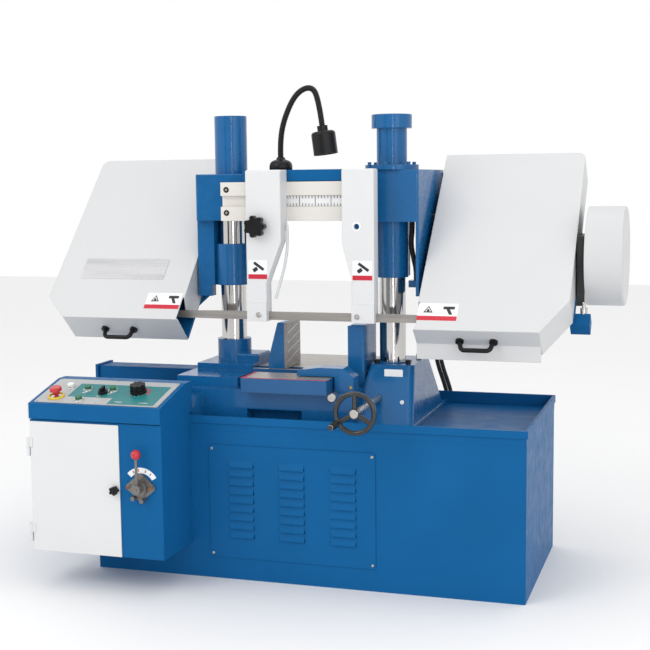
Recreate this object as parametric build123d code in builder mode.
from build123d import *
import os
from math import sin, cos, tan, radians

os.makedirs("parts", exist_ok=True)

# Double-column metal band saw.  X runs along the machine, Y from the operator
# to the rear, Z up.  The origin is the centre of the base on the floor.

# ---------------------------------------------------------------- base
base_length = 1400
base_depth = 640
base_height = 474
base_wall = 5
rim_overhang = 4
tray_floor = 8
tray_height = 46
tray_band = 23
floor_plate = 6
anchor_spacing_x = 1240
anchor_spacing_y = 500
anchor_radius = 9

# louvred access panel
panel_left, panel_right = -299, 242
panel_bottom, panel_top = 70, 430
panel_sheet = 3
panel_border = 20
louvre_columns = (-191, -25, 140)
louvre_width = 80
louvre_rows = 9
louvre_pitch = 28
louvre_first = 136
louvre_depth = 6
louvre_slot = 9

# control cabinet and sloping console
cabinet_left, cabinet_right = -804, -361
cabinet_front = -532
cabinet_bottom, cabinet_top = 112, 529
cabinet_sheet = 3
console_lip = 48
console_slope = 14.1
console_run = 192
console_top_depth = 45
console_overhang = 5
door_left, door_right = -803, -501
door_bottom, door_top = 113, 521
door_sheet = 3
door_gap = 0.5
door_return = 12
hinge_pin_radius = 3
button_radius = 11
button_height = 9
button_travel = 4
running_gap = 0.08
clear_gap = 0.4

# hydraulic valve on the cabinet front
valve_x, valve_z = -431, 335
valve_width, valve_height = 106, 92
lever_length = 101
lever_ball_radius = 15

# ---------------------------------------------------------------- bed
bed_left, bed_right = -452, 100
bed_front, bed_back = -235, 290
bed_top = 593
table_top = 638
front_plate_left, front_plate_right = -203, 78
front_plate_front, front_plate_back = -281, -150
rear_table_left, rear_table_front, rear_table_back = -238, -84, 285
rear_table_right = 146

column_radius = 42.5
column_wall = 12
column_y = 30
left_column_x, right_column_x = -343, 209
column_bottom, column_top = 500, 1275
column_fit = 0.08
socket_radius = 56.5
socket_top = 723
pedestal_top = 662
pedestal_foot = (100, 335)

# vice
fixed_jaw_left, fixed_jaw_right = 90, 145
jaw_front, jaw_back = -84, 66
jaw_top = 790
jaw_plate = 10
moving_face = -121
moving_foot = 65
moving_jaw_front = -69
screw_z = 569
screw_y = -45
bearing_width = 20
leadscrew_radius = 12
nut_gap = 0.1
guide_slot_half = 20
wheel_x = 209
wheel_front = -428
handwheel_radius = 66
handwheel_rim = 7.5
stop_rod_x, stop_rod_z, stop_rod_radius = 88, 583, 14

# ---------------------------------------------------------------- saw bow
bow_tilt = 43.2
bow_y, bow_z = -181, 805
hood_length = 717
hood_depth = 112
hood_sheet = 2.5
left_hood_out, left_hood_in = -956, -458
right_hood_in, right_hood_out = 329, 792
left_cut_x, left_cut_v = 81, 84
right_cut_x, right_cut_v = 80, 122
hood_corner = 26
plate_gap = 0.4
wheel_plate = 10
band_wheel_radius = 209.6
band_wheel_width = 30
band_wheel_v = 260.5
band_wheel_depth = 36
left_wheel_x, right_wheel_x = -707, 560
shaft_radius = 25
blade_width = 27
blade_thickness = 1
blade_gap = 0.4
blade_y, blade_low = -119, 804
twist_left, twist_right = -330, 260

# sleeves, beam and guide arms
left_block = (-441, -265)
left_block_z = (1120, 1272)
right_block = (159, 312)
right_block_z = (1115, 1279)
block_front = -50
block_back = 105
rail_left, rail_right = -341, 160
rail_low, rail_high = 1120, 1245
rail_front, rail_back = -75, -50
groove_low, groove_high, groove_deep = 1166, 1201, 16
arm_front = -140
arm_gap = 0.4
arm_foot_front, arm_foot_back = -143, -93
left_arm_out, left_arm_in, left_foot_in = -230, -112, -163
right_arm_in, right_arm_out, right_foot_in = 90, 194, 120
arm_top = 1283
arm_bottom = 802

# belt drive
drum_y, drum_z, drum_radius = 146, 1001, 156.5
drum_left, drum_right = 821, 938
drum_sheet = 2.5
drum_plate = 25
worm_v, worm_depth, worm_radius, worm_pulley = 320, 150, 12, 65
motor_v, motor_depth, motor_radius, motor_shaft_radius, motor_pulley_radius = 445, 190, 62, 9, 28
belt_x = (853, 871)
belt_thickness = 6
right_lip_v = -16.5
fascia_depth, fascia_height = 70, 50
tube_radius = 53.5

bow = Plane(
    origin=(0, bow_y, bow_z),
    x_dir=(1, 0, 0),
    z_dir=(0, -cos(radians(bow_tilt)), sin(radians(bow_tilt))),
)
console = Plane(
    origin=(0, cabinet_front - console_overhang, cabinet_top + console_lip),
    x_dir=(1, 0, 0),
    z_dir=(0, -sin(radians(console_slope)), cos(radians(console_slope))),
)


def block(x, y, z, mode=Mode.ADD):
    """A box between two values along each axis."""
    with Locations(((x[0] + x[1]) / 2, (y[0] + y[1]) / 2, (z[0] + z[1]) / 2)):
        Box(x[1] - x[0], y[1] - y[0], z[1] - z[0], mode=mode)


def rod(start, direction, radius, length, mode=Mode.ADD):
    """A cylinder that runs from start along direction."""
    with Locations(Plane(origin=start, z_dir=direction)):
        Cylinder(radius, length, align=(Align.CENTER, Align.CENTER, Align.MIN), mode=mode)


def bow_point(x, v, depth):
    """A point in the tilted bow: v up its slope, depth behind its face."""
    return bow.from_local_coords(Vector(x, v, -depth))


def bow_rod(x, v, depth, radius, length, mode=Mode.ADD):
    """A cylinder square to the bow, from depth back towards its face."""
    rod(bow_point(x, v, depth), bow.z_dir, radius, length, mode)


def bow_block(x, v, depth, mode=Mode.ADD):
    """A box lying in the tilted bow."""
    middle = bow_point(sum(x) / 2, sum(v) / 2, sum(depth) / 2)
    with Locations(Plane(origin=middle, x_dir=bow.x_dir, z_dir=bow.z_dir)):
        Box(x[1] - x[0], v[1] - v[0], depth[1] - depth[0], mode=mode)


def console_point(x, y):
    """A point of the console's sloping top, found from its place in plan."""
    run = (y - console.origin.Y) / cos(radians(console_slope))
    return console.from_local_coords(Vector(x, run, 0))


# ================================================================ base
half_length = base_length / 2 - rim_overhang
half_depth = base_depth / 2 - rim_overhang
tray_base = base_height + tray_floor
tray_top = base_height + tray_height
pump_block_top = 470

with BuildPart() as base_cabinet:
    block((-half_length, half_length), (-half_depth, half_depth), (0, base_height))
    fillet(base_cabinet.edges().filter_by(Axis.Z), 6)
    block(
        (-half_length + base_wall, half_length - base_wall),
        (-half_depth + base_wall, half_depth - base_wall),
        (floor_plate, base_height),
        Mode.SUBTRACT,
    )
    block(
        (panel_left + panel_border, panel_right - panel_border),
        (-half_depth - 1, -half_depth + base_wall + 1),
        (panel_bottom + panel_border, panel_top - panel_border),
        Mode.SUBTRACT,
    )
    with GridLocations(anchor_spacing_x, anchor_spacing_y, 2, 2):
        Hole(anchor_radius)
    block((312, 352), (half_depth, half_depth + 36), (pump_block_top - 40, pump_block_top))
base_cabinet.part.label = "base_cabinet"
export_step(base_cabinet.part, "parts/base_cabinet.step")

with BuildPart() as coolant_tray:
    block((-half_length, half_length), (-half_depth, half_depth), (base_height, tray_top))
    block(
        (-base_length / 2, base_length / 2),
        (-base_depth / 2, base_depth / 2),
        (tray_top - tray_band, tray_top),
    )
    block(
        (-half_length + base_wall, half_length - base_wall),
        (-half_depth + base_wall, half_depth - base_wall),
        (tray_base, tray_top),
        Mode.SUBTRACT,
    )
    fillet(coolant_tray.edges().filter_by(Axis.Z).group_by(Axis.X)[0], 6)
    fillet(coolant_tray.edges().filter_by(Axis.Z).group_by(Axis.X)[-1], 6)
coolant_tray.part.label = "coolant_tray"
export_step(coolant_tray.part, "parts/coolant_tray.step")

panel_face = -half_depth - panel_sheet

with BuildPart() as louvre_panel:
    block((panel_left, panel_right), (panel_face, -half_depth), (panel_bottom, panel_top))
    fillet(louvre_panel.edges().filter_by(Axis.Y), 6)
    for column in louvre_columns:
        for row in range(louvre_rows):
            low = louvre_first + row * louvre_pitch
            block(
                (column - louvre_width / 2, column + louvre_width / 2),
                (panel_face - 1, -half_depth + 1),
                (low, low + louvre_slot),
                Mode.SUBTRACT,
            )
            with BuildSketch(Plane.YZ.offset(column - louvre_width / 2)) as louvre:
                with BuildLine():
                    Polyline(
                        (panel_face, low + 22),
                        (panel_face - louvre_depth, low + 6),
                        (panel_face - louvre_depth, low + 1),
                        (panel_face - louvre_depth + 1.5, low + 1),
                        (panel_face - louvre_depth + 1.5, low + 6.5),
                        (panel_face + 1, low + 19),
                        (panel_face + 1, low + 22),
                        close=True,
                    )
                make_face()
            extrude(louvre.sketch, amount=louvre_width)
louvre_panel.part.label = "louvre_panel"
export_step(louvre_panel.part, "parts/louvre_panel.step")

# hydraulic power unit and coolant supply inside the base
tank_left, tank_right, tank_top, tank_half = -560, -260, 210, 140
tank_wall = 4
pump_x = (tank_left + tank_right) / 2
coolant_x, coolant_y, coolant_top = (360, 640), (40, 290), 150
with BuildPart() as fluid_units:
    for x, y, top in (
        ((tank_left, tank_right), (-tank_half, tank_half), tank_top),
        (coolant_x, coolant_y, coolant_top),
    ):
        block(x, y, (floor_plate, top))
        block(
            (x[0] + tank_wall, x[1] - tank_wall),
            (y[0] + tank_wall, y[1] - tank_wall),
            (floor_plate + tank_wall, top + 1),
            Mode.SUBTRACT,
        )
    block((tank_left - 6, tank_right + 6), (-tank_half - 6, tank_half + 6), (tank_top, tank_top + 8))
    rod((pump_x, 0, tank_top + 8), (0, 0, 1), 80, 12)
    rod((pump_x, 0, tank_top + 20), (0, 0, 1), 62, 170)
    rod((560, 200, floor_plate + tank_wall), (0, 0, 1), 42, 150)
    rod((560, 200, coolant_top + 10), (0, 0, 1), 60, 10)
    rod((560, 200, coolant_top + 20), (0, 0, 1), 48, 110)
fluid_units.part.label = "fluid_units"
export_step(fluid_units.part, "parts/fluid_units.step")

# ================================================================ control cabinet
contactor_back = -base_depth / 2 - cabinet_sheet
with BuildPart() as contactor_plate:
    block((cabinet_left + 40, door_right - 25), (contactor_back - 3, contactor_back), (160, 480))
    with Locations(Plane((-655, contactor_back - 3, 330), x_dir=(1, 0, 0), z_dir=(0, -1, 0))):
        with GridLocations(60, 130, 4, 2):
            Box(46, 78, 60, align=(Align.CENTER, Align.CENTER, Align.MIN))
contactor_plate.part.label = "contactor_plate"
export_step(contactor_plate.part, "parts/contactor_plate.step")

lip_front = cabinet_front - console_overhang
slope_rise = console_run * tan(radians(console_slope))
console_high = cabinet_top + console_lip + slope_rise
slope_back = lip_front + console_run
panel_front_y, panel_back_y = -527, -352
buttons = {
    "white_button": (-722, -414),
    "green_button_left": (-655, -426),
    "green_button_front": (-647, -503),
    "green_button_right": (-569, -426),
}
estop_place = (-734, -484)
selector_place = (-594, -447)
dial_place = (-480, -432)
console_left = cabinet_left - console_overhang
door_back = cabinet_front - door_gap
door_front = door_back - door_sheet
hinge_x, hinge_y = cabinet_left - 6, door_front - 1
hinge_heights = (170, 440)
hinge_leaf = 28
control_places = [*buttons.values(), estop_place, selector_place, dial_place]

with BuildPart() as control_cabinet:
    block(
        (cabinet_left, cabinet_right),
        (cabinet_front, -base_depth / 2 - clear_gap),
        (cabinet_bottom, cabinet_top),
    )
    block(
        (-half_length + 20, cabinet_right),
        (-base_depth / 2 - 1, -half_depth),
        (cabinet_bottom, tray_top - tray_band - 1),
    )
    block(
        (cabinet_left + cabinet_sheet, cabinet_right - cabinet_sheet),
        (cabinet_front + cabinet_sheet, -base_depth / 2 - cabinet_sheet),
        (cabinet_bottom + cabinet_sheet, cabinet_top + 1),
        Mode.SUBTRACT,
    )
    for left, right, wall, mode in (
        (console_left, cabinet_right, 0, Mode.ADD),
        (console_left + cabinet_sheet, cabinet_right - cabinet_sheet, cabinet_sheet, Mode.SUBTRACT),
    ):
        with BuildSketch(Plane.YZ.offset(left)) as side:
            with BuildLine():
                Polyline(
                    (lip_front + wall, cabinet_top - wall),
                    (lip_front + wall, cabinet_top + console_lip - wall),
                    (slope_back, console_high - wall),
                    (slope_back + console_top_depth - wall, console_high - wall),
                    (slope_back + console_top_depth - wall, cabinet_top - wall),
                    close=True,
                )
            make_face()
        extrude(side.sketch, amount=right - left, mode=mode)
    block(
        (door_left + 15, door_right - 6),
        (cabinet_front - 1, cabinet_front + cabinet_sheet + 1),
        (door_bottom + 15, door_top - 15),
        Mode.SUBTRACT,
    )
    rod((valve_x, cabinet_front - 1, valve_z), (0, 1, 0), 20, 10, Mode.SUBTRACT)
    for x, y in control_places:
        rod(console_point(x, y) - console.z_dir * 9, console.z_dir, 5 + running_gap, 20, Mode.SUBTRACT)
    for z in hinge_heights:
        low = z - hinge_leaf - clear_gap
        rod((hinge_x, hinge_y, low), (0, 0, 1), 5, hinge_leaf)
        rod((hinge_x, hinge_y, z - 5), (0, 0, 1), hinge_pin_radius, hinge_leaf)
        block((hinge_x - 2, cabinet_left), (hinge_y, cabinet_front + 20), (low, low + hinge_leaf))
control_cabinet.part.label = "control_cabinet"
export_step(control_cabinet.part, "parts/control_cabinet.step")

with BuildPart() as console_panel:
    front = console.to_local_coords(console_point(0, panel_front_y)).Y
    back = console.to_local_coords(console_point(0, panel_back_y)).Y
    with BuildSketch(console):
        with Locations(((cabinet_left + cabinet_right) / 2, (front + back) / 2)):
            RectangleRounded(cabinet_right - cabinet_left - 26, back - front, 6)
    extrude(amount=2)
    for x, y in control_places:
        rod(console_point(x, y) - console.z_dir * 5, console.z_dir, 5 + running_gap, 20, Mode.SUBTRACT)
console_panel.part.label = "console_panel"
export_step(console_panel.part, "parts/console_panel.step")

with BuildPart() as button_bezels:
    for x, y in buttons.values():
        foot = console_point(x, y) + console.z_dir * 2
        rod(foot, console.z_dir, button_radius + 3, 6)
        rod(foot - console.z_dir, console.z_dir, button_radius + clear_gap, 12, Mode.SUBTRACT)
    foot = console_point(*estop_place) + console.z_dir * 2
    rod(foot, console.z_dir, 19, 3)
    rod(foot - console.z_dir, console.z_dir, 6, 12, Mode.SUBTRACT)
button_bezels.part.label = "button_bezels"
export_step(button_bezels.part, "parts/button_bezels.step")

for name, (x, y) in buttons.items():
    with BuildPart() as button:
        foot = console_point(x, y)
        cap = foot + console.z_dir * (2 + button_travel + clear_gap)
        rod(foot - console.z_dir * 10, console.z_dir, 5, 20)
        rod(cap, console.z_dir, button_radius, button_height - clear_gap)
        fillet(button.edges().sort_by(lambda edge: edge.center().dot(console.z_dir))[-1], 1.5)
    button.part.label = name
    export_step(button.part, f"parts/{name}.step")

with BuildPart() as estop_button:
    foot = console_point(*estop_place)
    rod(foot - console.z_dir * 10, console.z_dir, 5, 32)
    rod(foot + console.z_dir * 10, console.z_dir, 11, 14)
    rod(foot + console.z_dir * 22, console.z_dir, 19, 12)
    fillet(estop_button.edges().sort_by(lambda edge: edge.center().dot(console.z_dir))[-1], 5)
estop_button.part.label = "estop_button"
export_step(estop_button.part, "parts/estop_button.step")

with BuildPart() as selector_switch:
    foot = console_point(*selector_place)
    rod(foot - console.z_dir * 10, console.z_dir, 5, 20)
    rod(foot + console.z_dir * 2.5, console.z_dir, 15, 8)
    with Locations(Plane(foot + console.z_dir * 10.5, x_dir=(1, 0, 0), z_dir=console.z_dir)):
        Box(8, 26, 12, align=(Align.CENTER, Align.CENTER, Align.MIN))
selector_switch.part.label = "selector_switch"
export_step(selector_switch.part, "parts/selector_switch.step")

with BuildPart() as speed_dial:
    foot = console_point(*dial_place)
    rod(foot - console.z_dir * 10, console.z_dir, 5, 20)
    rod(foot + console.z_dir * 2.5, console.z_dir, 26, 8)
    rod(foot + console.z_dir * 10, console.z_dir, 20, 20)
    with Locations(Plane(foot + console.z_dir * 10, x_dir=(1, 0, 0), z_dir=console.z_dir)):
        with PolarLocations(20, 8):
            Cylinder(4.5, 20, align=(Align.CENTER, Align.CENTER, Align.MIN))
speed_dial.part.label = "speed_dial"
export_step(speed_dial.part, "parts/speed_dial.step")

# cabinet door on two lift-off hinges at its left edge
with BuildPart() as cabinet_door:
    block((door_left, door_right), (door_front, door_back), (door_bottom, door_top))
    block((door_left + 20, door_right - 20), (door_back, door_back + door_return),
          (door_bottom + 20, door_top - 20))
    block((door_left + 22, door_right - 22), (door_back, door_back + door_return + 1),
          (door_bottom + 22, door_top - 22), Mode.SUBTRACT)
    for z in hinge_heights:
        rod((hinge_x, hinge_y, z), (0, 0, 1), 5, 28)
        block((hinge_x, door_left + 8), (door_front - 2, door_front + 1), (z, z + 28))
        rod((hinge_x, hinge_y, z - 1), (0, 0, 1), hinge_pin_radius + running_gap, 32, Mode.SUBTRACT)
    rod((door_right - 14, door_front - 1, 322), (0, 1, 0), 4 + running_gap, 20, Mode.SUBTRACT)
cabinet_door.part.label = "cabinet_door"
export_step(cabinet_door.part, "parts/cabinet_door.step")

knob_x, knob_z = door_right - 14, 322
with BuildPart() as door_knob:
    rod((knob_x, door_front - 22, knob_z), (0, 1, 0), 4, 40)
    with Locations(Plane((knob_x, door_front - 20, knob_z), x_dir=(1, 0, 0), z_dir=(0, 1, 0))):
        Cylinder(10, 18, align=(Align.CENTER, Align.CENTER, Align.MIN))
        with PolarLocations(9.5, 5):
            Cylinder(4.5, 16, align=(Align.CENTER, Align.CENTER, Align.MIN))
    latch_y = cabinet_front + cabinet_sheet + 1
    block((knob_x - 3, knob_x + 15), (latch_y, latch_y + 4), (knob_z - 5, knob_z + 5))
door_knob.part.label = "door_knob"
export_step(door_knob.part, "parts/door_knob.step")

# hydraulic control valve with its lever
valve_face = Plane((valve_x, cabinet_front, valve_z), x_dir=(1, 0, 0), z_dir=(0, -1, 0))
with BuildPart() as valve_body:
    with BuildSketch(valve_face) as diamond:
        with BuildLine():
            Polyline(
                (-valve_width / 2, 0), (0, valve_height / 2),
                (valve_width / 2, 0), (0, -valve_height / 2), close=True,
            )
        make_face()
        fillet(diamond.vertices(), 9)
    extrude(amount=6)
    rod((valve_x, cabinet_front - 20, valve_z), (0, 1, 0), 19.5, 40)
    rod((valve_x, cabinet_front - 20, valve_z), (0, 1, 0), 24, 14)
    block((valve_x - 30, valve_x + 30), (cabinet_front + cabinet_sheet, cabinet_front + 70),
          (valve_z - 35, valve_z + 35))
    for dx, dz in ((-19, -32), (10, -38)):
        rod((valve_x + dx, cabinet_front - 24, valve_z + dz), (0, 1, 0), 7, 24)
    rod((valve_x, cabinet_front - 25, valve_z), (0, 1, 0), 5 + running_gap, 70, Mode.SUBTRACT)
valve_body.part.label = "valve_body"
export_step(valve_body.part, "parts/valve_body.step")

lever_y = cabinet_front - 31
with BuildPart() as valve_lever:
    rod((valve_x, cabinet_front - 44, valve_z), (0, 1, 0), 5, 62)
    rod((valve_x, cabinet_front - 42, valve_z), (0, 1, 0), 15, 21)
    rod((valve_x, lever_y, valve_z), (0, 0, 1), 4.5, lever_length)
valve_lever.part.label = "valve_lever"
export_step(valve_lever.part, "parts/valve_lever.step")

with BuildPart() as lever_ball:
    with Locations((valve_x, lever_y, valve_z + lever_length + 5)):
        Sphere(lever_ball_radius)
    rod((valve_x, lever_y, valve_z), (0, 0, 1), 4.5, lever_length, Mode.SUBTRACT)
lever_ball.part.label = "lever_ball"
export_step(lever_ball.part, "parts/lever_ball.step")

# ================================================================ bed
channel_half = 28
channel_floor = screw_z - 34
channel_left = -236
gear_radius = 24
slot_y = (screw_y - guide_slot_half, screw_y + guide_slot_half)
channel_y = (screw_y - channel_half, screw_y + channel_half)

with BuildPart() as bed_casting:
    block((bed_left, bed_right), (bed_front, bed_back), (tray_base, bed_top))
    fillet(bed_casting.edges().filter_by(Axis.Z).group_by(Axis.X)[0], 22)
    block((bed_left + 4, -238.4), (-215, 170), (bed_top - 20, 628))
    block((-434, -238.4), (-80, 150), (600, 650))
    block((-318, -238.4), (-20, 90), (640, 676))
    fillet(bed_casting.edges().group_by(Axis.Z)[-1], 6)
    rod((-400, -232, tray_base), (0, 0, 1), 48, 92)
    block((-200, -18), (bed_front - 1, bed_front + 55), (tray_base + 6, 532), Mode.SUBTRACT)
    rod((left_column_x, column_y, 650), (0, 0, 1), socket_radius, socket_top - 650)
    block((channel_left + bearing_width, bed_right + 1), channel_y, (channel_floor, bed_top + 1),
          Mode.SUBTRACT)
    rod((channel_left, screw_y, screw_z), (1, 0, 0), leadscrew_radius + running_gap, 60, Mode.SUBTRACT)
    rod((left_column_x, column_y, column_bottom), (0, 0, 1), column_radius, 300, Mode.SUBTRACT)
    rod((stop_rod_x, bed_front - 1, stop_rod_z), (0, 1, 0), stop_rod_radius, 104, Mode.SUBTRACT)
bed_casting.part.label = "bed_casting"
export_step(bed_casting.part, "parts/bed_casting.step")

with BuildPart() as work_table:
    block((front_plate_left, front_plate_right), (front_plate_front, front_plate_back), (bed_top, table_top))
    block((rear_table_left, rear_table_right), (rear_table_front, rear_table_back), (bed_top, table_top))
    fillet(work_table.edges().filter_by(Axis.Z), 2)
    block((rear_table_left - 1, fixed_jaw_left - 6), slot_y, (bed_top - 1, table_top + 1), Mode.SUBTRACT)
work_table.part.label = "work_table"
export_step(work_table.part, "parts/work_table.step")

# flared pedestal round the right column
with BuildPart() as right_pedestal:
    with BuildSketch(Plane.XY.offset(tray_base)):
        with Locations(((135 + pedestal_foot[1]) / 2, 5)):
            RectangleRounded(pedestal_foot[1] - 135, 480, 22)
    with BuildSketch(Plane.XY.offset(pedestal_top)):
        with Locations((227.5, 50)):
            RectangleRounded(145, 220, 18)
    loft()
    block((pedestal_foot[0], 150), (bed_front, bed_back), (tray_base, bed_top))
    block(pedestal_foot, (bed_front - 5, bed_back), (tray_base, tray_base + 14))
    rod((right_column_x, column_y, pedestal_top), (0, 0, 1), 62, 3)
    block((pedestal_foot[0] + bearing_width, 262), channel_y, (channel_floor, channel_floor + 62),
          Mode.SUBTRACT)
    rod((bed_right - 1, screw_y, screw_z), (1, 0, 0), leadscrew_radius + running_gap, 60, Mode.SUBTRACT)
    with BuildSketch(Plane.XZ.offset(155)) as nose:
        with BuildLine():
            Polyline((-40, 641), (-36, 658), (30, 668), (112, 668), (146, 640), (146, bed_top),
                     (84, bed_top), (84, 641), close=True)
        make_face()
        fillet(nose.vertices().group_by(Axis.Y)[-1], 6)
    extrude(nose.sketch, amount=60)
    rod((right_column_x, column_y, column_bottom), (0, 0, 1), column_radius, 300, Mode.SUBTRACT)
    rod((wheel_x, bed_front - 10, screw_z), (0, 1, 0), 10 + running_gap, 190, Mode.SUBTRACT)
    rod((stop_rod_x, bed_front - 1, stop_rod_z), (0, 1, 0), stop_rod_radius, 104, Mode.SUBTRACT)
    rod((286, bed_front - 10, 560), (0, 1, 0), 7, 90, Mode.SUBTRACT)
right_pedestal.part.label = "right_pedestal"
export_step(right_pedestal.part, "parts/right_pedestal.step")

with BuildPart() as length_stop_rod:
    rod((stop_rod_x, -262, stop_rod_z), (0, 1, 0), stop_rod_radius, 130)
    chamfer(length_stop_rod.edges().group_by(Axis.Y)[0], 2)
length_stop_rod.part.label = "length_stop_rod"
export_step(length_stop_rod.part, "parts/length_stop_rod.step")

# columns: the left one guides, the right one also carries the lift piston
with BuildPart() as columns:
    for x in (left_column_x, right_column_x):
        rod((x, column_y, column_bottom), (0, 0, 1), column_radius, column_top - column_bottom)
        rod((x, column_y, column_bottom - 1), (0, 0, 1), column_radius - column_wall, 900, Mode.SUBTRACT)
    chamfer(columns.edges().group_by(Axis.Z)[-1], 2)
columns.part.label = "columns"
export_step(columns.part, "parts/columns.step")

# vice cylinder housing along the rear left
with BuildPart() as rear_beam:
    block((-905, -452), (120, 220), (530, 595))
    fillet(rear_beam.edges().filter_by(Axis.X), 8)
    block((-916, -905), (112, 228), (526, 600))
    rod((-934, 170, 572), (1, 0, 0), 15, 18)
rear_beam.part.label = "rear_beam"
export_step(rear_beam.part, "parts/rear_beam.step")

# ================================================================ vice
with BuildPart() as fixed_jaw:
    block((fixed_jaw_left + jaw_plate, fixed_jaw_right), (jaw_front, jaw_back), (table_top, jaw_top))
    fillet(fixed_jaw.edges().filter_by(Axis.Z).group_by(Axis.X)[-1], 9)
    fillet(fixed_jaw.edges().group_by(Axis.Z)[-1], 5)
    block((fixed_jaw_left, fixed_jaw_left + jaw_plate), (jaw_front, jaw_back), (table_top, jaw_top - 4))
fixed_jaw.part.label = "fixed_jaw"
export_step(fixed_jaw.part, "parts/fixed_jaw.step")

jaw_low = table_top + clear_gap
jaw_body_back = moving_face - jaw_plate
with BuildPart() as moving_jaw:
    with BuildSketch(Plane.XZ.offset(-jaw_back)):
        with BuildLine():
            Polyline((moving_face - moving_foot, jaw_low), (jaw_body_back, jaw_low),
                     (jaw_body_back, jaw_top), (jaw_body_back - 22, jaw_top),
                     (moving_face - moving_foot, jaw_low + 30), close=True)
        make_face()
    extrude(amount=jaw_back - moving_jaw_front)
    fillet(moving_jaw.edges().filter_by(Axis.Y).group_by(Axis.Z)[-1], 6)
    block((moving_face - moving_foot, jaw_body_back), (slot_y[0] + clear_gap, slot_y[1] - clear_gap),
          (screw_z - 22, jaw_low + 1))
    rod((-300, screw_y, screw_z), (1, 0, 0), leadscrew_radius + nut_gap, 300, Mode.SUBTRACT)
moving_jaw.part.label = "moving_jaw"
export_step(moving_jaw.part, "parts/moving_jaw.step")

with BuildPart() as moving_jaw_plate:
    block((jaw_body_back, moving_face), (moving_jaw_front, jaw_back), (jaw_low + 1, jaw_top - 2))
moving_jaw_plate.part.label = "moving_jaw_plate"
export_step(moving_jaw_plate.part, "parts/moving_jaw_plate.step")

with BuildPart() as leadscrew:
    rod((channel_left + 6, screw_y, screw_z), (1, 0, 0), leadscrew_radius,
        wheel_x - gear_radius - channel_left - 6)
    with Locations(Plane((wheel_x - gear_radius, screw_y, screw_z), x_dir=(0, 1, 0), z_dir=(1, 0, 0))):
        Cone(gear_radius - 1, 12, 11.5, align=(Align.CENTER, Align.CENTER, Align.MIN))
leadscrew.part.label = "leadscrew"
export_step(leadscrew.part, "parts/leadscrew.step")

rim_centre_radius = handwheel_radius - handwheel_rim
rim_y = wheel_front + 8
crank_angle = 210
crank_x = wheel_x + rim_centre_radius * cos(radians(crank_angle))
crank_z = screw_z + rim_centre_radius * sin(radians(crank_angle))
with BuildPart() as handwheel:
    with BuildSketch(Plane.XY.offset(screw_z)):
        with Locations((wheel_x + rim_centre_radius, rim_y)):
            RectangleRounded(2 * handwheel_rim, 2 * handwheel_rim, handwheel_rim - 0.3)
    revolve(axis=Axis((wheel_x, rim_y, screw_z), (0, 1, 0)))
    for spoke in (90, crank_angle, 330):
        way = Vector(cos(radians(spoke)), 0, sin(radians(spoke)))
        rod(Vector(wheel_x, rim_y, screw_z) + way * 12, way, 7.5, rim_centre_radius - 12)
    rod((wheel_x, wheel_front - 2, screw_z), (0, 1, 0), 16, 22)
    rod((crank_x, rim_y - 9, crank_z), (0, 1, 0), 8, 16)
    rod((crank_x, rim_y - 82, crank_z), (0, 1, 0), 5, 80)
    rod((crank_x, rim_y - 84, crank_z), (0, 1, 0), 7.5, 5)
    rod((wheel_x, -500, screw_z), (0, 1, 0), 10, 200, Mode.SUBTRACT)
handwheel.part.label = "handwheel"
export_step(handwheel.part, "parts/handwheel.step")

with BuildPart() as handwheel_shaft:
    rod((wheel_x, wheel_front - 4, screw_z), (0, 1, 0), 10, screw_y - gear_radius - wheel_front + 4)
    with Locations(Plane((wheel_x, screw_y - gear_radius, screw_z), x_dir=(1, 0, 0), z_dir=(0, 1, 0))):
        Cone(gear_radius - 1, 12, 11.5, align=(Align.CENTER, Align.CENTER, Align.MIN))
handwheel_shaft.part.label = "handwheel_shaft"
export_step(handwheel_shaft.part, "parts/handwheel_shaft.step")

with BuildPart() as crank_grip:
    with BuildSketch(Plane((crank_x, 0, crank_z), x_dir=(1, 0, 0), z_dir=(0, 0, 1))):
        with BuildLine():
            near, far = rim_y - 78.5, rim_y - 9.5
            Line((5 + running_gap, near), (5 + running_gap, far))
            Line((5 + running_gap, far), (8, far))
            ThreePointArc((8, far), (11, (near + far) / 2 - 8), (8, near))
            Line((8, near), (5 + running_gap, near))
        make_face()
    revolve(axis=Axis((crank_x, 0, crank_z), (0, 1, 0)))
crank_grip.part.label = "crank_grip"
export_step(crank_grip.part, "parts/crank_grip.step")

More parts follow.
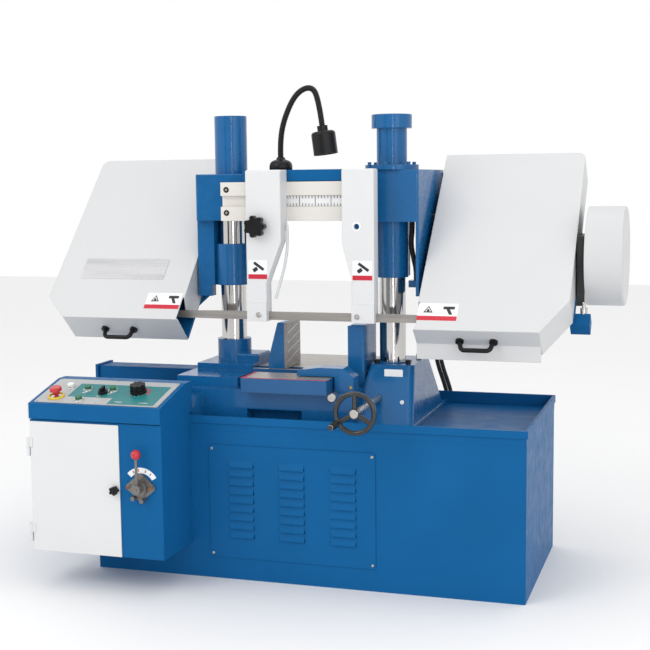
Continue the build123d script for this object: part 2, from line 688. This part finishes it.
# ================================================================ sleeves on the columns
bore = column_radius + column_fit
plate_front = hood_depth + plate_gap
plate_back = plate_front + wheel_plate
band_half = blade_width / 2
blade_inner = band_wheel_radius + blade_gap
band_depth = (band_wheel_depth - band_half, band_wheel_depth + band_half)
low_run_v = band_wheel_v - blade_inner - blade_thickness / 2
high_run_v = band_wheel_v + blade_inner
beam_v = (545, 640)
beam_depth = (56, 130)
beam_wall = 8
left_plate_in, right_plate_in = -430, 312
rear_web = (78, 105)
beam_bracket_y, beam_bracket_z = (95, 262), (1145, 1190)
cheek_x, cheek_y, cheek_bottom = (right_block[1] - 10, right_block[1]), (-38, 330), 880
manifold_x, manifold_y, manifold_z = (284, 324), (318, 352), (880, 912)
junction_x, junction_y, junction_z = (264, 302), (22, 66), (903, 925)
with BuildPart() as left_sleeve:
    block(left_block, (block_front, block_back), left_block_z)
    fillet(left_sleeve.edges().filter_by(Axis.Z), 8)
    fillet(left_sleeve.edges().group_by(Axis.Z)[-1], 3)
    rod((left_column_x, column_y, left_block_z[1]), (0, 0, 1), tube_radius, 190)
    rod((left_column_x, column_y, 905), (0, 0, 1), socket_radius, 137)
    block((left_plate_in, -390), (-20, rear_web[1]), (905, left_block_z[0] + 20))
    block((-449, -402), (-20, 18), (868, left_block_z[0] + 20))
    block((-400, -286), rear_web, (905, left_block_z[0] + 20))
    block((-400, -300), beam_bracket_y, beam_bracket_z)
    bow_block((left_plate_in, right_plate_in), beam_v, beam_depth, Mode.SUBTRACT)
    rod((left_column_x, column_y, 900), (0, 0, 1), bore, left_block_z[1] - 900, Mode.SUBTRACT)
    rod((left_column_x, column_y, left_block_z[1] - 1), (0, 0, 1), bore + 2, 189, Mode.SUBTRACT)
left_sleeve.part.label = "left_sleeve"
export_step(left_sleeve.part, "parts/left_sleeve.step")

flange_bolts = 6
with BuildPart() as right_sleeve:
    block(right_block, (-40, block_back), right_block_z)
    fillet(right_sleeve.edges().filter_by(Axis.Z), 8)
    fillet(right_sleeve.edges().group_by(Axis.Z)[-1], 3)
    rod((right_column_x, column_y, 936), (0, 0, 1), 52, right_block_z[0] - 936 + 10)
    block((172, 250), rear_web, (936, right_block_z[0] + 20))
    block((172, 250), beam_bracket_y, beam_bracket_z)
    block(cheek_x, cheek_y, (cheek_bottom, right_block_z[1]))
    block(manifold_x, manifold_y, manifold_z)
    block(junction_x, junction_y, junction_z)
    rod((right_column_x, column_y, right_block_z[1]), (0, 0, 1), 86, 16)
    rod((right_column_x, column_y, right_block_z[1]), (0, 0, 1), 48.5, 150)
    rod((right_column_x, column_y, 1410), (0, 0, 1), 64.5, 44)
    fillet(right_sleeve.edges().group_by(Axis.Z)[-1], 3)
    with Locations(Plane((right_column_x, column_y, right_block_z[1] + 16))):
        with PolarLocations(74, flange_bolts, start_angle=30):
            Cylinder(6, 9, align=(Align.CENTER, Align.CENTER, Align.MIN))
    bow_block((left_plate_in, right_plate_in), beam_v, beam_depth, Mode.SUBTRACT)
    block((100, right_block[0]), (-80, 30), (rail_low, arm_top), Mode.SUBTRACT)
    bow_block((cheek_x[0] - 1, cheek_x[1] + 1), (high_run_v - 2, high_run_v + 3),
              (band_depth[0] - 2, band_depth[1] + 2), Mode.SUBTRACT)
    rod((right_column_x, column_y, 930), (0, 0, 1), bore, right_block_z[1] - 930, Mode.SUBTRACT)
    rod((right_column_x, column_y, right_block_z[1] - 1), (0, 0, 1), bore + 1, 177, Mode.SUBTRACT)
right_sleeve.part.label = "right_sleeve"
export_step(right_sleeve.part, "parts/right_sleeve.step")

# front beam between the sleeves, and the tilted box beam behind the columns
with BuildPart() as cross_beams:
    block((left_block[1], right_block[0]), (rail_back, 30), (rail_low, arm_top))
    block((left_block[1], right_block[0]), (rail_front + 3, rail_back), (rail_high + 2, arm_top))
    bow_block((left_plate_in, right_plate_in), beam_v, beam_depth)
    bow_block(
        (left_plate_in - 1, right_plate_in + 1),
        (beam_v[0] + beam_wall, beam_v[1] - beam_wall),
        (beam_depth[0] + beam_wall, beam_depth[1] - beam_wall),
        Mode.SUBTRACT,
    )
cross_beams.part.label = "cross_beams"
export_step(cross_beams.part, "parts/cross_beams.step")

with BuildPart() as guide_rail:
    block((rail_left, rail_right), (rail_front, rail_back), (rail_low, rail_high))
    block((rail_left - 1, rail_right + 1), (rail_front - 1, rail_front + groove_deep),
          (groove_low, groove_high), Mode.SUBTRACT)
    fillet(guide_rail.edges().filter_by(Axis.X).group_by(Axis.Y)[0], 1)
guide_rail.part.label = "guide_rail"
export_step(guide_rail.part, "parts/guide_rail.step")

# ================================================================ guide arms
blade_slot = (blade_y - blade_thickness / 2 - blade_gap, blade_y + blade_thickness / 2 + blade_gap)
blade_top = blade_low + blade_width
clamp_x, clamp_z = -190, 1105
with BuildPart() as left_guide_arm:
    with BuildSketch(Plane.XZ.offset(-arm_foot_back)) as outline:
        with BuildLine():
            Polyline((left_arm_out, arm_bottom), (left_foot_in, arm_bottom), (left_foot_in, 925),
                     (left_arm_in, 1056), (left_arm_in, arm_top), (left_arm_out, arm_top), close=True)
        make_face()
        fillet(outline.vertices().group_by(Axis.Y)[-1], 6)
    extrude(amount=arm_foot_back - arm_front)
    fillet(left_guide_arm.edges().filter_by(Axis.Z).group_by(Axis.Y)[0], 4)
    block((left_arm_out, left_arm_in), (arm_front + 20, rail_front - arm_gap), (1090, arm_top))
    block((left_arm_out, left_foot_in), (arm_foot_front, arm_foot_back), (arm_bottom - 1, 862))
    block((left_arm_out + 8, left_arm_in - 8), (rail_front - 2, rail_front + groove_deep - 2),
          (groove_low + arm_gap, groove_high - arm_gap))
    block((left_arm_out - 1, left_foot_in + 1), blade_slot, (arm_bottom - 2, blade_top + blade_gap),
          Mode.SUBTRACT)
    rod((clamp_x, arm_foot_front - 1, clamp_z), (0, 1, 0), 6 + running_gap, 60, Mode.SUBTRACT)
left_guide_arm.part.label = "left_guide_arm"
export_step(left_guide_arm.part, "parts/left_guide_arm.step")

with BuildPart() as right_guide_arm:
    with BuildSketch(Plane.XZ.offset(-arm_foot_back)) as outline:
        with BuildLine():
            Polyline((right_foot_in, arm_bottom + 4), (right_arm_out, arm_bottom + 4),
                     (right_arm_out, arm_top), (right_arm_in, arm_top), (right_arm_in, 1050),
                     (right_foot_in, 940), close=True)
        make_face()
        fillet(outline.vertices().group_by(Axis.Y)[-1], 6)
    extrude(amount=arm_foot_back - arm_front)
    fillet(right_guide_arm.edges().filter_by(Axis.Z).group_by(Axis.Y)[0], 4)
    block((right_arm_in, rail_right), (arm_front + 20, rail_front), (1090, rail_high))
    block((right_foot_in, right_arm_out), (arm_foot_front, arm_foot_back), (arm_bottom, 862))
    block((right_foot_in - 1, right_arm_out + 1), blade_slot, (arm_bottom - 2, blade_top + blade_gap),
          Mode.SUBTRACT)
    rod((138, arm_front - 1, 1104), (0, 1, 0), 9, 14, Mode.SUBTRACT)
right_guide_arm.part.label = "right_guide_arm"
export_step(right_guide_arm.part, "parts/right_guide_arm.step")

knob_lobes = 7
with BuildPart() as clamp_knob:
    rod((clamp_x, arm_front - 30, clamp_z), (0, 1, 0), 6, 60)
    rod((clamp_x, arm_front - 12, clamp_z), (0, 1, 0), 15, 11)
    with Locations(Plane((clamp_x, arm_front - 12, clamp_z), x_dir=(1, 0, 0), z_dir=(0, -1, 0))):
        Cylinder(27, 22, align=(Align.CENTER, Align.CENTER, Align.MIN))
        with PolarLocations(27, knob_lobes):
            Cylinder(8.5, 22, align=(Align.CENTER, Align.CENTER, Align.MIN))
clamp_knob.part.label = "clamp_knob"
export_step(clamp_knob.part, "parts/clamp_knob.step")

# ================================================================ band wheels and blade

with BuildPart() as saw_blade:
    block((twist_left, twist_right), (blade_y - blade_thickness / 2, blade_y + blade_thickness / 2),
          (blade_low, blade_top))
    cut_middle = (blade_y, blade_low + band_half)
    for straight_end, wheel_end in ((twist_left, left_wheel_x), (twist_right, right_wheel_x)):
        with BuildSketch(Plane((straight_end, *cut_middle), x_dir=(0, 0, 1), z_dir=(1, 0, 0))):
            Rectangle(blade_width, blade_thickness)
        wheel_middle = bow_point(wheel_end, low_run_v, band_wheel_depth)
        with BuildSketch(Plane(wheel_middle, x_dir=bow.z_dir, z_dir=(1, 0, 0))):
            Rectangle(blade_width, blade_thickness)
        loft()
    bow_block((left_wheel_x, right_wheel_x), (high_run_v, high_run_v + blade_thickness), band_depth)
    for wheel_end, start in ((left_wheel_x, 90), (right_wheel_x, -90)):
        with BuildSketch(bow.offset(-band_depth[1])) as band:
            with BuildLine():
                outer = CenterArc((wheel_end, band_wheel_v), blade_inner + blade_thickness, start, 180)
                inner = CenterArc((wheel_end, band_wheel_v), blade_inner, start, 180)
                Line(outer @ 0, inner @ 0)
                Line(outer @ 1, inner @ 1)
            make_face()
        extrude(band.sketch, amount=blade_width)
saw_blade.part.label = "saw_blade"
export_step(saw_blade.part, "parts/saw_blade.step")

wheel_depth = (band_wheel_depth - band_wheel_width / 2, band_wheel_depth + band_wheel_width / 2)
with BuildPart() as left_band_wheel:
    bow_rod(left_wheel_x, band_wheel_v, wheel_depth[1], band_wheel_radius, band_wheel_width)
    bow_rod(left_wheel_x, band_wheel_v, wheel_depth[0] + 8, band_wheel_radius - 22, 20, Mode.SUBTRACT)
    bow_rod(left_wheel_x, band_wheel_v, wheel_depth[1] + 20, 45, band_wheel_width + 20)
    bow_rod(left_wheel_x, band_wheel_v, 120, shaft_radius + running_gap, 130, Mode.SUBTRACT)
left_band_wheel.part.label = "left_band_wheel"
export_step(left_band_wheel.part, "parts/left_band_wheel.step")

with BuildPart() as right_band_wheel:
    bow_rod(right_wheel_x, band_wheel_v, wheel_depth[1], band_wheel_radius, band_wheel_width)
    bow_rod(right_wheel_x, band_wheel_v, wheel_depth[0] + 8, band_wheel_radius - 22, 20, Mode.SUBTRACT)
    bow_rod(right_wheel_x, band_wheel_v, wheel_depth[1] + 20, 45, band_wheel_width + 20)
    bow_rod(right_wheel_x, band_wheel_v, 195, shaft_radius, 150)
right_band_wheel.part.label = "right_band_wheel"
export_step(right_band_wheel.part, "parts/right_band_wheel.step")

plate_top = 745
with BuildPart() as left_wheel_plate:
    with BuildSketch(bow.offset(-plate_back)):
        with BuildLine():
            Polyline((-945, 96), (-868, 12), (-462, 12), (-462, 150), (left_plate_in, 200),
                     (left_plate_in, 600), (-462, plate_top), (-945, plate_top), close=True)
        make_face()
    extrude(amount=wheel_plate)
    bow_block((left_wheel_x - 75, left_wheel_x + 75), (190, 331), (plate_back, plate_back + 55))
    bow_rod(left_wheel_x, band_wheel_v, plate_back + 20, shaft_radius, plate_back + 10)
left_wheel_plate.part.label = "left_wheel_plate"
export_step(left_wheel_plate.part, "parts/left_wheel_plate.step")

with BuildPart() as right_wheel_plate:
    with BuildSketch(bow.offset(-plate_back)):
        with BuildLine():
            Polyline((right_plate_in, 150), (340, 12), (716, 12), (796, 134), (796, 460), (782, 500),
                     (782, plate_top), (right_plate_in, plate_top), close=True)
        make_face()
    extrude(amount=wheel_plate)
    bow_block((782, 842), (104, 150), (plate_back, plate_back + 46))
    bow_rod(right_wheel_x, band_wheel_v, plate_back + 5, shaft_radius + running_gap, 30, Mode.SUBTRACT)
right_wheel_plate.part.label = "right_wheel_plate"
export_step(right_wheel_plate.part, "parts/right_wheel_plate.step")

# ================================================================ hinged hoods
hood_outlines = {
    "left_hood": [(left_hood_out, left_cut_v), (left_hood_out + left_cut_x, 0), (left_hood_in, 0),
                  (left_hood_in, hood_length), (left_hood_out, hood_length)],
    "right_hood": [(right_hood_in, right_lip_v), (right_hood_out - right_cut_x, right_lip_v),
                   (right_hood_out, right_cut_v + right_lip_v), (right_hood_out, hood_length),
                   (right_hood_in, hood_length)],
}
inner_walls = {"left_hood": left_hood_in, "right_hood": right_hood_in}
for name, outline in hood_outlines.items():
    with BuildPart() as hood:
        with BuildSketch(bow) as cover:
            with BuildLine():
                Polyline(*outline, close=True)
            make_face()
            top_out = cover.vertices().group_by(Axis.Y)[-1].sort_by(Axis.X)
            fillet(top_out[0] if name == "left_hood" else top_out[-1], hood_corner)
        extrude(cover.sketch, amount=-hood_depth)
        with BuildSketch(bow.offset(-hood_sheet)) as inside:
            with BuildLine():
                Polyline(*outline, close=True)
            make_face()
            offset(amount=-hood_sheet, kind=Kind.INTERSECTION)
        extrude(inside.sketch, amount=-hood_depth, mode=Mode.SUBTRACT)
        with BuildSketch(Plane.YZ.offset(inner_walls[name] - 6)) as exit_notch:
            with BuildLine():
                Polyline(*[(point.Y, point.Z) for point in (
                    bow_point(0, right_lip_v - 2, -2), bow_point(0, 93, -2), bow_point(0, 52, 58),
                    bow_point(0, 92, hood_depth + 2), bow_point(0, right_lip_v - 2, hood_depth + 2))],
                    close=True)
            make_face()
        extrude(exit_notch.sketch, amount=12, mode=Mode.SUBTRACT)
        bow_block((inner_walls[name] - 6, inner_walls[name] + 6), (high_run_v - 24, high_run_v + 12),
                  (14, hood_depth + 1), Mode.SUBTRACT)
        if name == "left_hood":
            bow_block((left_hood_out + left_cut_x, left_hood_in), (0, hood_sheet), (0, hood_depth))
        else:
            bow_block((right_hood_in, right_hood_out - right_cut_x), (right_lip_v, right_lip_v + hood_sheet),
                      (0, hood_depth))
            fascia_top = bow_point(0, right_lip_v + 1, fascia_depth)
            block((right_hood_in, right_hood_out - right_cut_x),
                  (fascia_top.Y, fascia_top.Y + hood_sheet), (fascia_top.Z - fascia_height, fascia_top.Z))
    hood.part.label = name
    export_step(hood.part, f"parts/{name}.step")

handle_radius, handle_span, handle_reach = 7, 104, 36
handle_places = {"left_hood_handle": (-687, 0, 58), "right_hood_handle": (519, right_lip_v, 50)}
for name, (x, lip, handle_depth) in handle_places.items():
    with BuildPart() as handle:
        left_foot = bow_point(x - handle_span / 2, lip, handle_depth)
        right_foot = bow_point(x + handle_span / 2, lip, handle_depth)
        with BuildLine() as grip_line:
            FilletPolyline(
                left_foot,
                bow_point(x - handle_span / 2 + 8, lip - handle_reach, handle_depth),
                bow_point(x + handle_span / 2 - 8, lip - handle_reach, handle_depth),
                right_foot,
                radius=14,
            )
        with BuildSketch(Plane(left_foot, z_dir=grip_line.line % 0)):
            Circle(handle_radius)
        sweep(path=grip_line.line)
        for foot in (left_foot, right_foot):
            rod(foot, -bow.y_dir, 13, 8)
        bow_block((x - handle_span, x + handle_span), (lip, lip + 20), (0, 90), Mode.SUBTRACT)
    handle.part.label = name
    export_step(handle.part, f"parts/{name}.step")

# ================================================================ drive
worm_start = bow_point(0, worm_v, worm_depth)
motor_start = bow_point(0, motor_v, motor_depth)
with BuildPart() as gearbox:
    bow_block((470, 650), (180, 350), (plate_back, plate_back + 85))
    fillet(gearbox.edges(), 6)
    bow_rod(right_wheel_x, band_wheel_v, 200, shaft_radius + running_gap, 100, Mode.SUBTRACT)
    rod((600, worm_start.Y, worm_start.Z), (1, 0, 0), worm_radius + running_gap, 100, Mode.SUBTRACT)
gearbox.part.label = "gearbox"
export_step(gearbox.part, "parts/gearbox.step")

with BuildPart() as drive_motor:
    rod((510, motor_start.Y, motor_start.Z), (1, 0, 0), motor_radius, 250)
    rod((500, motor_start.Y, motor_start.Z), (1, 0, 0), motor_radius - 6, 270)
    bow_block((560, 720), (motor_v - 45, motor_v + 45), (plate_back, motor_depth - 30))
    rod((650, motor_start.Y, motor_start.Z), (1, 0, 0), motor_shaft_radius + running_gap, 200, Mode.SUBTRACT)
drive_motor.part.label = "drive_motor"
export_step(drive_motor.part, "parts/drive_motor.step")

with BuildPart() as worm_shaft:
    rod((602, worm_start.Y, worm_start.Z), (1, 0, 0), worm_radius, belt_x[1] + 8 - 602)
    rod((belt_x[0] - 4, worm_start.Y, worm_start.Z), (1, 0, 0), worm_pulley, belt_x[1] - belt_x[0] + 8)
worm_shaft.part.label = "worm_shaft"
export_step(worm_shaft.part, "parts/worm_shaft.step")

with BuildPart() as motor_shaft:
    rod((652, motor_start.Y, motor_start.Z), (1, 0, 0), motor_shaft_radius, belt_x[1] + 8 - 652)
    rod((belt_x[0] - 4, motor_start.Y, motor_start.Z), (1, 0, 0), motor_pulley_radius,
        belt_x[1] - belt_x[0] + 8)
motor_shaft.part.label = "motor_shaft"
export_step(motor_shaft.part, "parts/motor_shaft.step")

with BuildPart() as drive_belt:
    for extra, mode in ((clear_gap + belt_thickness, Mode.ADD), (clear_gap, Mode.SUBTRACT)):
        with BuildSketch(Plane.YZ.offset(belt_x[0])) as loop:
            with Locations((worm_start.Y, worm_start.Z)):
                Circle(worm_pulley + extra)
            with Locations((motor_start.Y, motor_start.Z)):
                Circle(motor_pulley_radius + extra)
            make_hull()
        extrude(loop.sketch, amount=belt_x[1] - belt_x[0], mode=mode)
drive_belt.part.label = "drive_belt"
export_step(drive_belt.part, "parts/drive_belt.step")

with BuildPart() as belt_guard:
    rod((drum_left, drum_y, drum_z), (1, 0, 0), drum_radius, drum_right - drum_left)
    fillet(belt_guard.edges().group_by(Axis.X)[-1], 8)
    rod((drum_left - 1, drum_y, drum_z), (1, 0, 0), drum_radius - drum_sheet,
        drum_right - drum_left + 1 - drum_sheet, Mode.SUBTRACT)
    block((drum_left - drum_plate, drum_left), (34, 300), (852, 1068))
    rod((drum_left - drum_plate - 1, worm_start.Y, worm_start.Z), (1, 0, 0), worm_radius + 4,
        drum_plate + 20, Mode.SUBTRACT)
    rod((drum_left - drum_plate - 1, motor_start.Y, motor_start.Z), (1, 0, 0), motor_shaft_radius + 4,
        drum_plate + 20, Mode.SUBTRACT)
belt_guard.part.label = "belt_guard"
export_step(belt_guard.part, "parts/belt_guard.step")

# ================================================================ lamp, cables and hoses
lamp_x, lamp_y = -150, -20
head_top = Vector(-8, lamp_y, 1422)
neck_bend = Vector(-17, lamp_y, 1492)
head_axis = (neck_bend - head_top).normalized()
with BuildPart() as lamp_neck:
    rod((lamp_x, lamp_y, arm_top), (0, 0, 1), 37.5, 32)
    fillet(lamp_neck.edges().group_by(Axis.Z)[-1], 10)
    with BuildLine() as gooseneck:
        FilletPolyline(
            (lamp_x, lamp_y, arm_top + 28), (-152, lamp_y, 1370), (-138, lamp_y, 1445),
            (-95, lamp_y, 1530), (-38, lamp_y, 1550), neck_bend, head_top,
            radius=[300, 200, 56, 30, 150],
        )
    with BuildSketch(Plane(gooseneck.line @ 0, z_dir=gooseneck.line % 0)):
        Circle(9.5)
    sweep(path=gooseneck.line)
lamp_neck.part.label = "lamp_neck"
export_step(lamp_neck.part, "parts/lamp_neck.step")

with BuildPart() as lamp_head:
    rod(head_top - head_axis * 92, head_axis, 39, 74)
    fillet(lamp_head.edges().group_by(Axis.Z)[-1], 10)
    rod(head_top - head_axis * 24, head_axis, 17, 24)
    rod(head_top - head_axis * 93, head_axis, 34, 60, Mode.SUBTRACT)
lamp_head.part.label = "lamp_head"
export_step(lamp_head.part, "parts/lamp_head.step")

frame_cable_route = [(273, 40, right_block_z[0]), (273, 40, 1085), (267, 42, 1040), (278, 45, 985),
                     (284, 46, 958), (284, 46, junction_z[1])]
with BuildPart() as frame_cables:
    with BuildLine() as conduit:
        FilletPolyline(*frame_cable_route, radius=[120, 120, 120, 60])
    with BuildSketch(Plane(conduit.line @ 0, z_dir=conduit.line % 0)):
        Circle(9)
    sweep(path=conduit.line)
frame_cables.part.label = "frame_cables"
export_step(frame_cables.part, "parts/frame_cables.step")

hose_radius = 7
lift_hose_route = [(296, 335, manifold_z[0]), (296, 335, 856), (284, 336, 790), (276, 337, 700),
                   (286, 337, 620), (318, 336, 530), (324, 336, 498), (324, 336, pump_block_top)]
with BuildPart() as lift_hoses:
    for shift in (0, 15.5):
        with BuildLine() as hose_line:
            FilletPolyline(*[(x + shift, y, z) for x, y, z in lift_hose_route],
                           radius=[100, 300, 260, 260, 160, 60])
        with BuildSketch(Plane(hose_line.line @ 0, z_dir=hose_line.line % 0)):
            Circle(hose_radius)
        sweep(path=hose_line.line)
lift_hoses.part.label = "lift_hoses"
export_step(lift_hoses.part, "parts/lift_hoses.step")

coolant_route = [(-104, -100, 1108), (-100, -104, 1050), (-108, -110, 985),
                 (-124, -114, 925), (-140, -118, 872)]
with BuildPart() as coolant_hose:
    with BuildLine() as coolant_line:
        FilletPolyline(*coolant_route, radius=[200, 220, 220])
    with BuildSketch(Plane(coolant_line.line @ 0, z_dir=coolant_line.line % 0)):
        Circle(4.5)
    sweep(path=coolant_line.line)
coolant_hose.part.label = "coolant_hose"
export_step(coolant_hose.part, "parts/coolant_hose.step")
